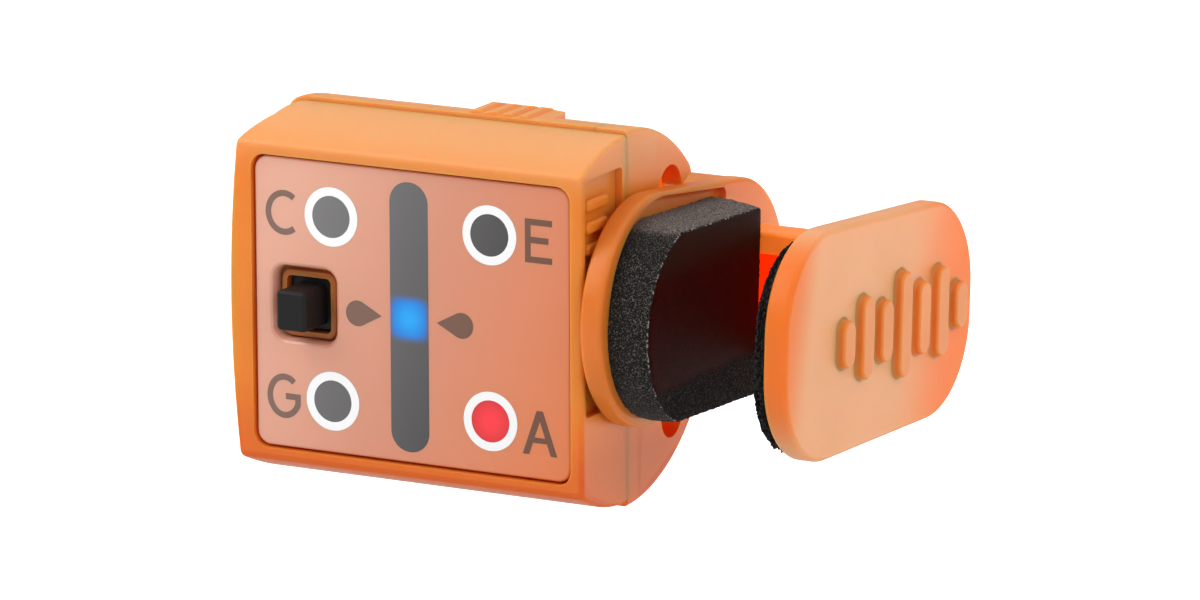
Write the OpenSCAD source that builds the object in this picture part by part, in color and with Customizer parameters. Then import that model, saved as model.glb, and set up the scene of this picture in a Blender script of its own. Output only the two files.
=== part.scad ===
// Clip-on tuner with a round-backed housing that tilts on a drum-shaped clip and a sprung sliding jaw.
// Millimetres. +X runs from the tuner towards the sliding jaw, +Y away from the display, +Z up.
// The origin is the centre of the fixed pad's gripping face.

/* [Housing] */
// Distance from the middle of the display to the flat right side of the housing
case_half_w = 13.05; // [12.9:0.05:13.6]
// Radius of the rear case and battery door
case_r = 12.9; // [12.7:0.05:13.2]
// Step from the rear case down to the front case
case_step = 0.3; // [0.1:0.05:0.4]
// Depth at which the front case meets the rear case
seam_y = 6.4; // [6.2:0.1:6.6]
// Wall thickness of both cases
wall = 1.3; // [1.1:0.05:1.4]
// How far the left end bows outward at mid height
end_bow = 0.8; // [0.4:0.1:1]

/* [Display] */
// Width of the display lens
lens_w = 24; // [23:0.1:24.2]
// Height of the display lens
lens_h = 20; // [19:0.1:20.2]
// Distance of the string lights from the middle, across
light_x = 6.03; // [5.8:0.05:6.3]
// Distance of the string lights from the middle, up and down
light_z = 6.35; // [6:0.05:6.6]
// Length of the tuning meter's window
meter_len = 18.5; // [16:0.1:18.6]

/* [Power button] */
// Width of the key
key_w = 2.3; // [2:0.1:2.6]
// Height of the key
key_h = 2.75; // [2.4:0.05:2.9]
// How far the key stands in front of the display
key_out = 1.6; // [1:0.1:2]

/* [Clip] */
// Angle by which the clip is pitched against the display at rest
clip_tilt = 3; // [0:0.5:5]
// Radius of the drum that the housing tilts on
drum_r = 8.25; // [8:0.05:8.3]
// Thickness of the fixed pad above its jaw
pad_out = 3.05; // [2:0.05:3.2]
// Gap between the two pads when the clip is closed
jaw_gap = 8.2; // [7:0.1:10]
// Thickness of the thin pad on the sliding jaw
thin_pad_t = 0.9; // [0.6:0.1:1.2]
// Thickness of the sliding jaw's plate
jaw_plate_t = 1.75; // [1.5:0.05:2]

/* [Battery] */
// Diameter of the coin cell
cell_d = 20; // [19.8:0.1:20]
// Thickness of the coin cell
cell_t = 3.2; // [3:0.1:3.2]
// Backward lean of the coin cell towards its door
cell_lean = 7; // [6.5:0.5:7.5]

/* [Hidden] */
$fn = 96;
fit = 0.1;             // running clearance of small sliding parts
eps = 0.01;
side_gap = 0.3;        // between the housing's side and the fixed jaw

case_y = 6.3;          // depth of the housing's centre of curvature
front_r = case_r - case_step;
case_left = case_half_w + 2;
bow_r = (pow(front_r, 2) + pow(end_bow, 2)) / (2 * end_bow);
hinge_y = 18.67;       // depth of the drum's axis
channel_r = drum_r + 0.25;
lip_y = 15.9;          // where the housing's rear lips end
front_wall_y = 2.3;    // back of the front case's face wall
web_y = 10.75;         // the rear lips' end webs start here

lens_y = 0.25;         // the lens sits a little below the case's face
lens_t = 1;
lens_corner = 1;
key_x = -8.25;
key_z = -0.1;
key_hole = [4.9, 5.2];
collar = [4.2, 4.6];
collar_wall = 0.4;

board_y = 3.2;
board_t = 0.6;
led_t = 0.5;
meter_x = -0.15;

jaw_x = case_half_w + side_gap;         // inner face of the fixed jaw's plate
fixed_plate_t = 1.6;
pad_face_x = jaw_x + fixed_plate_t + pad_out;
neck_r = 7.3;
neck_x = 8.5;                           // the drum narrows from here to the plate
drum_left = -12;
pad_centre = [-10.6, 0.1];              // in the clip's own depth and height
moving_pad_x = pad_face_x + jaw_gap;
moving_plate_x = moving_pad_x + thin_pad_t;
moving_x = moving_plate_x + jaw_plate_t;

arm_front = -2.2;      // the arm's section, as depth and height about the drum's axis
arm_back = 1;
arm_half = 4.3;
arm_left = -10.3;
arm_rim = 1.5;
arm_web = 1.1;
follower_t = 1;
spring_u = 4.3;
spring_r = 1.85;
spring_wire = 0.5;
spring_turns = 11;
chamber_r = 2.4;
chamber_end = 8.2;

post_x = 5.5;          // the two tilt posts stand this far from the middle
post_half = 1.3;
tilt_limit = 20;
tilt_room = tilt_limit + clip_tilt + 2;

door_start = 68.5;     // the battery door's angles about the housing's centre of curvature
door_end = 89.4;
door_right = 10.6;
door_lip = 2.3;
cell_y = 7.1;

case_orange = [0.93, 0.55, 0.3];
deep_orange = [0.95, 0.42, 0.15];
lens_pink = [0.85, 0.6, 0.5];
near_black = [0.14, 0.13, 0.13];
steel = [0.75, 0.75, 0.76];
nickel = [0.8, 0.78, 0.72];
board_green = [0.1, 0.35, 0.2];
brass = [0.85, 0.68, 0.35];

// Where the tuner's and the clip's pieces stand in the shared frame
module in_frame() {
    pad_y = hinge_y + pad_centre[0] * cos(clip_tilt) + pad_centre[1] * sin(clip_tilt);
    pad_z = -pad_centre[0] * sin(clip_tilt) + pad_centre[1] * cos(clip_tilt);
    translate([-pad_face_x, -pad_y, -pad_z]) children();
}
module on_clip() {
    in_frame() translate([0, hinge_y, 0]) rotate([-clip_tilt, 0, 0]) children();
}

// A depth and height outline carried across, and a width and height outline carried back
module along_x(x0, x1) {
    translate([x0, 0, 0]) rotate([90, 0, 90]) linear_extrude(x1 - x0) children();
}
module along_y(y0, y1) {
    translate([0, y1, 0]) rotate([90, 0, 0]) linear_extrude(y1 - y0) children();
}

module rounded_box2d(size, r) {
    for (side = [-1, 1])
        for (end = [-1, 1])
            translate([side * (size[0] / 2 - r), end * (size[1] / 2 - r)]) circle(r);
    square([size[0] - 2 * r, size[1]], center = true);
    square([size[0], size[1] - 2 * r], center = true);
}

// Two circles joined by their common tangents
module tapered_slot(c0, r0, c1, r1) {
    d = norm(c1 - c0);
    lean = atan2(c1[1] - c0[1], c1[0] - c0[0]);
    spread = acos((r0 - r1) / d);
    translate(c0) circle(r0);
    translate(c1) circle(r1);
    polygon([
        for (a = [lean + spread, lean - spread]) c0 + r0 * [cos(a), sin(a)],
        for (a = [lean - spread, lean + spread]) c1 + r1 * [cos(a), sin(a)]
    ]);
}

// Outline around equal circles, their centres given anticlockwise; its sides cut the circles a hair inside
module rounded_polygon2d(centres, r) {
    n = len(centres);
    for (p = centres) translate(p) circle(r);
    polygon([
        for (i = [0:n - 1])
            let (p = centres[i], q = centres[(i + 1) % n], side = q - p, out = (r - 0.004) / norm(side))
                each [p + out * [side[1], -side[0]], q + out * [side[1], -side[0]]]
    ]);
}

module sector2d(r0, r1, a0, a1) {
    mid = (a0 + a1) / 2;
    intersection() {
        difference() {
            circle(r1);
            circle(r0);
        }
        polygon([[0, 0], for (a = [a0, mid, a1]) 2 * r1 * [cos(a), sin(a)]]);
    }
}

module band2d(y0, y1) {
    translate([y0, -20]) square([y1 - y0, 40]);
}

// The housing's left end is part of one large cylinder
module left_bow(inset) {
    translate([bow_r - case_half_w - end_bow, 0, 0]) rotate([90, 0, 0])
        cylinder(r = bow_r - inset, h = 80, center = true, $fn = 360);
}

module case_slab(r, inset, y0, y1) {
    intersection() {
        along_x(-case_left, case_half_w - inset) intersection() {
            translate([case_y, 0]) circle(r);
            band2d(y0, y1);
        }
        left_bow(inset);
    }
}

module screw(r, head_r, head_h, len) {
    difference() {
        union() {
            translate([0, 0, -eps]) cylinder(r = r, h = len + eps);
            translate([0, 0, -head_h]) cylinder(r = head_r, h = head_h);
        }
        translate([0, 0, -head_h - eps]) for (a = [0, 90]) rotate(a)
            translate([-head_r * 0.6, -head_r * 0.12, 0]) cube([head_r * 1.2, head_r * 0.24, head_h * 0.6]);
    }
}

module rod(p, q, r) {
    d = q - p;
    translate(p) rotate([0, acos(d[2] / norm(d)), atan2(d[1], d[0])]) cylinder(r = r, h = norm(d), $fn = 24);
}

// ---- housing ----
screw_places = [for (side = [-1, 1]) [side * 8.5, -9.5]];

module front_case() {
    ribs_at = [2.6, 7.2];
    color(case_orange) in_frame() difference() {
        union() {
            difference() {
                case_slab(front_r, 0, 0, seam_y);
                case_slab(front_r - wall, wall, front_wall_y, seam_y + 1);
            }
            for (p = screw_places) translate([p[0], seam_y, p[1]]) rotate([90, 0, 0])
                cylinder(r = 1.45, h = seam_y - front_wall_y + eps);
            translate([key_x, 0, key_z]) along_y(0.9, front_wall_y) rounded_box2d(collar, 0.7);
        }
        // seat of the lens, cut around the collar of the key
        difference() {
            along_y(-1, lens_y + lens_t + 0.05) rounded_box2d([lens_w + 0.3, lens_h + 0.3], lens_corner);
            translate([key_x, 0, key_z]) along_y(0.9, 2) rounded_box2d(collar, 0.7);
        }
        translate([key_x, 0, key_z]) along_y(0, 4)
            rounded_box2d(collar - 2 * [collar_wall, collar_wall], 0.4);
        for (side = [-1, 1])
            for (end = [-1, 1])
                translate([side * light_x, 0, end * light_z]) along_y(0, 4) circle(1.9);
        translate([meter_x, 0, 0]) along_y(0, 4) rounded_box2d([3.1, meter_len + 0.3], 1.5);
        for (p = screw_places) translate([p[0], 0, p[1]]) along_y(seam_y - 3.2, seam_y + 1) circle(0.6);
        // sunken field on the right side, with three plain ribs left standing in it
        difference() {
            translate([case_half_w - 0.55, 0.45, -5.5]) cube([2, 5.3, 16.1]);
            for (i = [-1:1]) translate([0, ribs_at[0], ribs_at[1] + i * 1.5])
                along_x(case_half_w - 1, case_half_w - 0.1) rounded_box2d([3, 0.8], 0.38);
        }
        // groove for the battery door's front tongue
        translate([0, case_y, 0]) along_x(-case_left, door_right + fit)
            sector2d(11.45, 12.15, door_start, door_end + door_lip + 0.6);
    }
}

// Opening in both ends of the rear case, where the drum's neck turns
module end_opening2d() {
    translate([hinge_y, 0]) circle(channel_r + 0.3);
    for (p = [[12.6, 7.6], [12.75, -7.95]]) {
        translate(p) circle(1.65);
        translate([p[0] - 1.65, min(0, p[1])]) square([3.3, abs(p[1])]);
    }
}

module door_profile(grow) {
    translate([case_y, 0]) {
        sector2d(11.2 - grow, case_r + grow, door_start - grow * 5, door_end + grow * 5);
        sector2d(11.55 - grow, 12.05 + grow, door_start - door_lip - grow * 5, door_end + door_lip);
    }
}

module rear_case() {
    color(case_orange) in_frame() difference() {
        union() {
            difference() {
                case_slab(case_r, 0, seam_y, lip_y);
                case_slab(case_r - wall, wall, seam_y - 1, lip_y + 1);
            }
            // concave wall behind the drum
            intersection() {
                case_slab(case_r, 0, seam_y, lip_y);
                translate([0, hinge_y, 0]) along_x(-case_left, case_half_w - wall) circle(channel_r + 1);
            }
            for (p = screw_places) intersection() {
                translate([p[0], 20, p[1]]) rotate([90, 0, 0]) cylinder(r = 1.75, h = 20 - seam_y);
                case_slab(case_r, 0, seam_y, lip_y);
            }
            // webs that close the end openings towards the inside
            for (side = [-1, 1]) intersection() {
                case_slab(case_r - 0.6, 0.6, web_y, lip_y);
                translate([side * (case_half_w - 2.1), 0, 0]) cube([1.7, 60, 60], center = true);
            }
        }
        translate([0, hinge_y, 0]) along_x(-case_left, case_half_w - wall) circle(channel_r);
        along_x(-case_left, wall - case_half_w) end_opening2d();
        along_x(case_half_w - wall - eps, case_half_w + 1) end_opening2d();
        // doorway for the cell, and the door's own track
        translate([-10.2, 6, 9]) cube([20.4, 4.7, 6]);
        along_x(-case_left, door_right + fit) door_profile(fit);
        for (p = screw_places) translate([p[0], 0, p[1]]) {
            along_y(0, 20) circle(0.85);
            along_y(9.6, 20) circle(1.3);
        }
    }
    // two posts that reach through the drum's slots
    color(case_orange) in_frame() for (side = [-1, 1]) difference() {
        translate([side * post_x, 0, 0]) intersection() {
            along_x(-post_half, post_half) translate([hinge_y, 0]) sector2d(6.62, channel_r + 0.5, 165, 195);
            translate([-5, 0, -1.2]) cube([10, 20, 2.4]);
        }
        translate([side * post_x, hinge_y - 9, 0]) rotate([-90, 0, 0]) cylinder(r = 0.45, h = 5);
    }
}

module case_screws() {
    color(steel) in_frame() for (p = screw_places) translate([p[0], 9.62, p[1]]) rotate([90, 0, 0])
        screw(0.58, 1.15, 0.7, 6.2);
}

module battery_door() {
    tooth = 1.15;
    grip_x = 0.9;
    grip_end = grip_x + 4 * tooth + 0.9;
    color(case_orange) in_frame() difference() {
        union() {
            intersection() {
                along_x(-case_left, door_right) door_profile(0);
                left_bow(0);
            }
            // four saw teeth across the door for a thumb, ending in a longer ramp
            intersection() {
                along_y(6.6, 10.2) polygon([
                    [grip_x, 12], [grip_x, 12.95],
                    for (i = [0:3]) each [
                        [grip_x + (i + 0.3) * tooth, 13.25], [grip_x + (i + 0.85) * tooth, 13.42],
                        [grip_x + (i + 1) * tooth, 13.05]
                    ],
                    [grip_end, 12.8], [grip_end, 12]
                ]);
                along_x(0, grip_end) translate([case_y, 0]) circle(case_r + 0.62);
            }
        }
        along_x(-case_left, case_left) translate([case_y, 0]) circle(11.2);
    }
}

// ---- display and electronics ----
module display_lens() {
    color(lens_pink) in_frame() difference() {
        along_y(lens_y, lens_y + lens_t) rounded_box2d([lens_w, lens_h], lens_corner);
        translate([key_x, 0, 0]) along_y(0, 3) rounded_box2d(key_hole, 0.9);
    }
}

module light_guide() {
    color([0.95, 0.95, 0.93]) in_frame() {
        difference() {
            along_y(front_wall_y + 0.05, front_wall_y + 0.35) rounded_box2d([21.6, 18.8], 1);
            translate([key_x, 0, 0]) along_y(0, 4) square([5, 6], center = true);
            for (p = screw_places) translate([p[0], 0, p[1]]) along_y(0, 4) circle(1.7);
        }
        for (side = [-1, 1])
            for (end = [-1, 1])
                translate([side * light_x, 0, end * light_z]) along_y(1.35, front_wall_y + 0.1) circle(1.8);
        translate([meter_x, 0, 0]) along_y(1.35, front_wall_y + 0.1) rounded_box2d([2.9, meter_len], 1.4);
    }
}

module power_button() {
    color(near_black) in_frame() translate([key_x, 0, key_z]) {
        along_y(-key_out, 1.45) rounded_box2d([key_w, key_h], 0.3);
        along_y(1.4, 2.35) rounded_box2d([3.2, 3.6], 0.35);
    }
}

module power_switch() {
    color(steel) in_frame() translate([key_x, 0, key_z]) {
        along_y(2.85, board_y) square([3, 3], center = true);
        along_y(2.72, 2.9) circle(0.7);
    }
}

module circuit_board() {
    color(board_green) in_frame() difference() {
        along_y(board_y, board_y + board_t) rounded_box2d([22.4, 19.6], 1);
        for (p = screw_places) translate([p[0], 0, p[1]]) along_y(0, 10) circle(1.8);
    }
}

module string_leds() {
    color([0.95, 0.95, 0.85]) in_frame()
        for (side = [-1, 1])
            for (end = [-1, 1])
                translate([side * light_x, 0, end * light_z]) along_y(board_y - led_t, board_y)
                    square([1.6, 0.8], center = true);
}

module meter_leds() {
    color([0.95, 0.95, 0.85]) in_frame() for (i = [-5:5])
        translate([meter_x, 0, i * 1.65]) along_y(board_y - led_t, board_y) square([1, 0.6], center = true);
}

module tuner_chip() {
    color(near_black) in_frame() translate([1.5, 0, 4.5]) {
        along_y(board_y + board_t, board_y + board_t + 0.9) square([5, 5], center = true);
        for (a = [0:90:270])
            for (i = [-3:3])
                rotate([0, a, 0]) translate([2.5, 0, i * 0.65])
                    along_y(board_y + board_t, board_y + board_t + 0.2) square([1, 0.25], center = true);
    }
}

module clock_crystal() {
    color(steel) in_frame() translate([-5, 0, 6]) along_y(board_y + board_t, board_y + board_t + 0.8)
        rounded_box2d([1.5, 3.2], 0.3);
}

module chip_capacitors() {
    places = [[-2.5, 7.6], [-2.5, 2], [6, 7.5], [6, 5.5], [-7.5, 3], [-7.5, 5]];
    color([0.7, 0.6, 0.45]) in_frame() for (p = places) translate([p[0], 0, p[1]])
        along_y(board_y + board_t, board_y + board_t + 0.5) square([1, 0.5], center = true);
}

module at_cell() {
    in_frame() translate([0, cell_y, 0]) rotate([90 - cell_lean, 0, 0]) children();
}

module coin_cell() {
    color(nickel) at_cell() {
        translate([0, 0, -cell_t / 2]) cylinder(r = cell_d / 2, h = cell_t - 0.7);
        translate([0, 0, cell_t / 2 - 0.75]) cylinder(r = cell_d / 2 - 1.3, h = 0.75);
    }
}

module battery_contact_negative() {
    color(brass) at_cell() {
        translate([-1.5, -3, cell_t / 2 + 0.03]) cube([3, 6, 0.15]);
        translate([-1.5, -3, cell_t / 2 + 0.03]) rotate([-25, 0, 0]) cube([3, 0.15, 0.7]);
    }
}

module battery_contact_positive() {
    color(brass) at_cell() {
        translate([-2, -4, -cell_t / 2 - 0.2]) cube([4, 8, 0.17]);
        translate([6.8, -2, -cell_t / 2 - 0.2]) cube([3.5, 3, 0.17]);
        translate([-2, -1, -cell_t / 2 - 0.2]) cube([9, 1.2, 0.17]);
        translate([10.13, -2, -cell_t / 2 - 0.2]) cube([0.17, 3, cell_t + 0.3]);
    }
}

module piezo_sensor() {
    color(brass) in_frame() translate([0, 5.95, 0]) {
        along_x(11.45, 11.72) circle(2.95);
        along_x(11.25, 11.46) circle(2.1);
    }
}

module piezo_leads() {
    color([0.7, 0.1, 0.1]) in_frame() for (side = [-1, 1])
        rod([11.3, 4.7, side * 2.4], [10.8, board_y + board_t + 0.2, side * 4.8], 0.14);
}

module tilt_retainers() {
    color(steel) in_frame() for (side = [-1, 1]) difference() {
        translate([side * post_x, hinge_y, 0]) along_x(-2.2, 2.2) sector2d(6, 6.6, 168, 192);
        translate([side * post_x, hinge_y - 8, 0]) rotate([-90, 0, 0]) cylinder(r = 0.6, h = 5);
    }
}

module retainer_screws() {
    color(steel) in_frame() for (side = [-1, 1]) translate([side * post_x, hinge_y - 5.88, 0])
        rotate([90, 0, 0]) screw(0.43, 1, 0.5, 2.4);
}

// ---- clip ----
module jaw_outline2d() {
    tapered_slot([-11.9, 0.15], 7.9, [0, 0.05], neck_r);
}

module fixed_jaw() {
    plate_end = jaw_x + fixed_plate_t;
    color(case_orange) on_clip() difference() {
        union() {
            along_x(jaw_x, plate_end) jaw_outline2d();
            along_x(neck_x - eps, jaw_x + eps) circle(neck_r);
            along_x(drum_left, neck_x) circle(drum_r);
        }
        // shallow seat of the foam pad
        along_x(plate_end - 0.7, plate_end + 1) intersection() {
            tapered_slot([-11.1, 0.25], 7.5, [0, 0.1], 6.8);
            band2d(-30, -1.9);
        }
        // passage for the arm, the spring's chamber and the slot between them
        along_x(drum_left - 1, plate_end + 1)
            translate([arm_front - 0.2, -arm_half - 0.2])
                square([arm_back - arm_front + 0.4, 2 * arm_half + 0.4]);
        along_x(drum_left - 1, chamber_end) translate([spring_u, 0]) circle(chamber_r);
        along_x(drum_left - 1, 3.6) translate([0, -1.1]) square([spring_u, 2.2]);
        for (side = [-1, 1]) {
            // slots that the tilt posts move in, room for their retainers, and a way in for a driver
            along_x(side * post_x - post_half - 0.25, side * post_x + post_half + 0.25)
                sector2d(6.5, drum_r + 1, 180 - 10 - tilt_room, 180 + 10 + tilt_room);
            along_x(side * post_x - 2.5, side * post_x + 2.5) intersection() {
                sector2d(4.8, 6.72, 180 - 13 - tilt_room, 180 + 13 + tilt_room);
                band2d(-9, -3.4);
            }
            translate([side * post_x, -4, 0]) rotate([-90, 0, 0]) cylinder(r = 1.15, h = 15);
            translate([drum_left - 1, -0.6, side * 6.15]) rotate([0, 90, 0]) cylinder(r = 0.45, h = 5);
        }
    }
}

module fixed_pad() {
    middle = -0.35;
    half = 6.4;
    color(near_black) on_clip() difference() {
        along_x(jaw_x + fixed_plate_t - 0.65, pad_face_x) intersection() {
            tapered_slot([-11.9, -0.2], 6.75, [0, -0.25], 6.6);
            band2d(-30, -2.6);
        }
        // the top and bottom edges slope in towards the gripping face
        for (s = [-1, 1]) translate([pad_face_x, 0, middle + s * half]) rotate([0, s * 6, 0])
            translate([-9, -25, s > 0 ? 0 : -4]) cube([16, 30, 4]);
    }
}

module sleeve_end_cap() {
    color(case_orange) on_clip() difference() {
        along_x(drum_left - 1, drum_left) circle(drum_r - 0.25);
        for (side = [-1, 1]) translate([drum_left - 2, -0.6, side * 6.15]) rotate([0, 90, 0]) {
            cylinder(r = 0.65, h = 4);
            cylinder(r = 1.25, h = 1.5);
        }
    }
}

module end_cap_screws() {
    color(steel) on_clip() for (side = [-1, 1]) translate([drum_left - 0.52, -0.6, side * 6.15])
        rotate([0, 90, 0]) screw(0.43, 1.1, 0.45, 4);
}

// Coil of round wire, swept ring by ring along its helix
function helix(t, x0, pitch) = [x0 + t * pitch, spring_r * cos(360 * t), spring_r * sin(360 * t)];
module clip_spring() {
    sides = 8;
    steps = 16;
    x0 = arm_left + spring_wire / 2 + 0.05;
    pitch = (chamber_end - spring_wire / 2 - 0.05 - x0) / spring_turns;
    rings = spring_turns * steps;
    points = [
        for (i = [0:rings])
            let (t = i / steps, c = helix(t, x0, pitch), out = [0, cos(360 * t), sin(360 * t)])
            for (j = [0:sides - 1])
                c + spring_wire / 2 * (cos(360 * j / sides) * out + sin(360 * j / sides) * [1, 0, 0])
    ];
    faces = [
        [for (j = [0:sides - 1]) j],
        [for (j = [sides - 1:-1:0]) rings * sides + j],
        for (i = [0:rings - 1])
            for (j = [0:sides - 1])
                let (a = i * sides, b = a + sides, k = (j + 1) % sides) [a + j, b + j, b + k, a + k]
    ];
    color(steel) on_clip() translate([0, spring_u, 0]) polyhedron(points, faces);
}

// ---- sliding jaw ----
jaw_corners = [[-13.85, -1.75], [1.5, -1.55], [1.65, 0.45], [-13.75, 0.95]];
jaw_corner_r = 6.4;
bar_heights = [3.2, 5.6, 4.2, 7.2, 5, 6.2, 3.2];

module sliding_jaw() {
    color(case_orange) on_clip() {
        along_x(moving_plate_x, moving_x) rounded_polygon2d(jaw_corners, jaw_corner_r);
        // plain raised bars of a level pattern
        for (i = [0:6]) along_x(moving_x - eps, moving_x + 0.6)
            translate([-11.9 + i * 2.85, -0.6]) rounded_box2d([1.7, bar_heights[i]], 0.84);
        difference() {
            along_x(arm_left, moving_plate_x + eps)
                translate([arm_front, -arm_half]) square([arm_back - arm_front, 2 * arm_half]);
            along_x(arm_left + 2, moving_plate_x)
                translate([arm_front - 1, arm_rim - arm_half])
                    square([arm_back - arm_front + 1 - arm_web, 2 * (arm_half - arm_rim)]);
            translate([arm_left - 1, -0.6, 0]) rotate([0, 90, 0]) cylinder(r = 0.45, h = 2.7);
        }
    }
}

module moving_pad() {
    color(near_black) on_clip() along_x(moving_pad_x, moving_plate_x) intersection() {
        translate([0, -0.4]) rounded_polygon2d(jaw_corners, jaw_corner_r - 0.6);
        band2d(-30, arm_front - 0.7);
    }
}

module spring_follower() {
    color(deep_orange) on_clip() difference() {
        along_x(arm_left - follower_t, arm_left) {
            translate([arm_front, -3]) square([arm_back - arm_front, 6]);
            translate([0, -0.9]) square([spring_u, 1.8]);
            translate([spring_u, 0]) circle(2.15);
        }
        translate([arm_left - 2, -0.6, 0]) rotate([0, 90, 0]) cylinder(r = 0.6, h = 4);
    }
}

module follower_screw() {
    color(steel) on_clip() translate([arm_left - follower_t - 0.02, -0.6, 0]) rotate([0, 90, 0])
        screw(0.43, 1, 0.45, 2.5);
}

front_case();
rear_case();
case_screws();
battery_door();
display_lens();
light_guide();
power_button();
power_switch();
circuit_board();
string_leds();
meter_leds();
tuner_chip();
clock_crystal();
chip_capacitors();
coin_cell();
battery_contact_negative();
battery_contact_positive();
piezo_sensor();
piezo_leads();
tilt_retainers();
retainer_screws();
fixed_jaw();
fixed_pad();
sleeve_end_cap();
end_cap_screws();
clip_spring();
sliding_jaw();
moving_pad();
spring_follower();
follower_screw();
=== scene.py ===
import math

import bmesh
import bpy
from mathutils import Matrix, Vector, noise


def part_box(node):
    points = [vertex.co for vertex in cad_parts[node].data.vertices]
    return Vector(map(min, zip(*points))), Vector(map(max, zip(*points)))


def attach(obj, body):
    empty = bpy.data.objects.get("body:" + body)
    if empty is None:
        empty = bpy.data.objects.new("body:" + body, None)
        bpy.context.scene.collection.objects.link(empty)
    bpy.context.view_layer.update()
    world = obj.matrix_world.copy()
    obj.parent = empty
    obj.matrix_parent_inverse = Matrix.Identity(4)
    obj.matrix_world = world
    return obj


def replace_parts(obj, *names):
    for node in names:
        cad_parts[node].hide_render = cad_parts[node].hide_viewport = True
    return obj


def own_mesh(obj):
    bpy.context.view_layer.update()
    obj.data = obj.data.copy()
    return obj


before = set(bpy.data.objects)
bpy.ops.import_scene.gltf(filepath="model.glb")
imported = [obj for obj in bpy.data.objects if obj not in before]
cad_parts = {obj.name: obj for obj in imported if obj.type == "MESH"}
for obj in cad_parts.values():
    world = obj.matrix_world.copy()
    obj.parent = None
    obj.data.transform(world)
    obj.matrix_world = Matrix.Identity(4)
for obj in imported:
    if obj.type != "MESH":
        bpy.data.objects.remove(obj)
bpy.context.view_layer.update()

MM = 0.001

# ---------------------------------------------------------------- frames
# Shapes are drawn in millimetres about the middle of the display's face (the tuner's frame) or about the
# drum's axis (the clip's frame), and are carried into the shared frame, in metres.
TILT = math.radians(3)
HINGE_Y = 18.67
LENS_Y = 0.25


def tuner_matrix():
    """The tuner's frame: the lens's middle is at x 0 and z 0, and its front at y LENS_Y."""
    lo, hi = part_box("display_lens")
    middle = (lo + hi) / 2
    return Matrix.Translation((middle.x, lo.y - LENS_Y * MM, middle.z)) @ Matrix.Scale(MM, 4)


def clip_matrix():
    """The clip's frame: its x axis is the drum's axis, which the tuner is tilted about."""
    return TUNER @ Matrix.Translation((0, HINGE_Y, 0)) @ Matrix.Rotation(-TILT, 4, "X")


TUNER = tuner_matrix()
CLIP = clip_matrix()

# ---------------------------------------------------------------- outlines
ARC_STEP = math.radians(3)


def arc(centre, radius, start, end, steps=0):
    """Points on an arc, both ends included; angles in degrees."""
    a0, a1 = math.radians(start), math.radians(end)
    n = steps or max(2, round(abs(a1 - a0) / ARC_STEP))
    return [(centre[0] + radius * math.cos(a0 + (a1 - a0) * i / n),
             centre[1] + radius * math.sin(a0 + (a1 - a0) * i / n)) for i in range(n + 1)]


def circle(centre, radius):
    return arc(centre, radius, 0, 360)[:-1]


def rounded_rect(centre, size, radius):
    w, h = size[0] / 2 - radius, size[1] / 2 - radius
    points = []
    for quarter, (sx, sy) in enumerate(((1, 1), (-1, 1), (-1, -1), (1, -1))):
        points += arc((centre[0] + sx * w, centre[1] + sy * h), radius, quarter * 90, quarter * 90 + 90)
    return points


def tapered(c0, r0, c1, r1):
    """Outline around two circles, as an arc about each and their common tangents."""
    lean = math.degrees(math.atan2(c1[1] - c0[1], c1[0] - c0[0]))
    spread = math.degrees(math.acos((r0 - r1) / math.dist(c0, c1)))
    return arc(c0, r0, lean + spread, lean + 360 - spread) + arc(c1, r1, lean - spread, lean + spread)


def around(centres, radius):
    """Outline around equal circles, their centres given anticlockwise."""
    points = []
    for before, centre, after in zip(centres[-1:] + centres[:-1], centres, centres[1:] + centres[:1]):
        start, end = (math.degrees(math.atan2(b[1] - a[1], b[0] - a[0])) - 90
                      for a, b in ((before, centre), (centre, after)))
        points += arc(centre, radius, start, start + (end - start) % 360, 30)
    return points


# ---------------------------------------------------------------- meshes
def across(depth, points):
    """A (depth, height) outline at one place across."""
    return [(depth, p[0], p[1]) for p in points]


def back(depth, points):
    """A (width, height) outline at one depth."""
    return [(p[0], depth, p[1]) for p in points]


def new_object(name, bm):
    bmesh.ops.remove_doubles(bm, verts=bm.verts, dist=1e-4)
    bmesh.ops.recalc_face_normals(bm, faces=bm.faces)
    mesh = bpy.data.meshes.new(name)
    bm.to_mesh(mesh)
    bm.free()
    obj = bpy.data.objects.new(name, mesh)
    bpy.context.scene.collection.objects.link(obj)
    return obj


def skin(bm, loops):
    """Faces between neighbouring loops of equal length; returns the loops' vertices."""
    rings = [[bm.verts.new(p) for p in loop] for loop in loops]
    for a, b in zip(rings, rings[1:]):
        for i in range(len(a)):
            j = (i + 1) % len(a)
            bm.faces.new((a[i], a[j], b[j], b[i]))
    return rings


def loft(name, loops, bm=None):
    """A closed solid through loops of equal length, capped at both ends; added to bm if it's given."""
    own = bm is None
    bm = bmesh.new() if own else bm
    rings = skin(bm, loops)
    bm.faces.new(rings[0])
    bm.faces.new(rings[-1])
    return new_object(name, bm) if own else None


def prism(name, place, outline, start, end):
    """The outline carried straight from start to end; place is across or back."""
    return loft(name, [place(start, outline), place(end, outline)])


def quarter_round(radius, steps=6):
    """(depth, inset) pairs from the tip of a rounded edge to where its side runs straight."""
    if not radius:
        return [(0, 0)]
    turns = [math.pi / 2 * i / steps for i in range(steps + 1)]
    return [(radius * (1 - math.cos(a)), radius * (1 - math.sin(a))) for a in turns]


def rounding(start, end, radius, ends=(True, True)):
    """(place, inset) pairs from start to end, with a quarter round at each chosen end."""
    way = 1 if end > start else -1
    first, last = (quarter_round(radius if rounded else 0) for rounded in ends)
    return [(start + way * depth, inset) for depth, inset in first] \
        + [(end - way * depth, inset) for depth, inset in reversed(last)]


def rounded_solid(name, place, outline, start, end, radius, ends=(True, True)):
    """outline(inset) extruded from start to end with rounded end edges."""
    return loft(name, [place(p, outline(i)) for p, i in rounding(start, end, radius, ends)])


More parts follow.
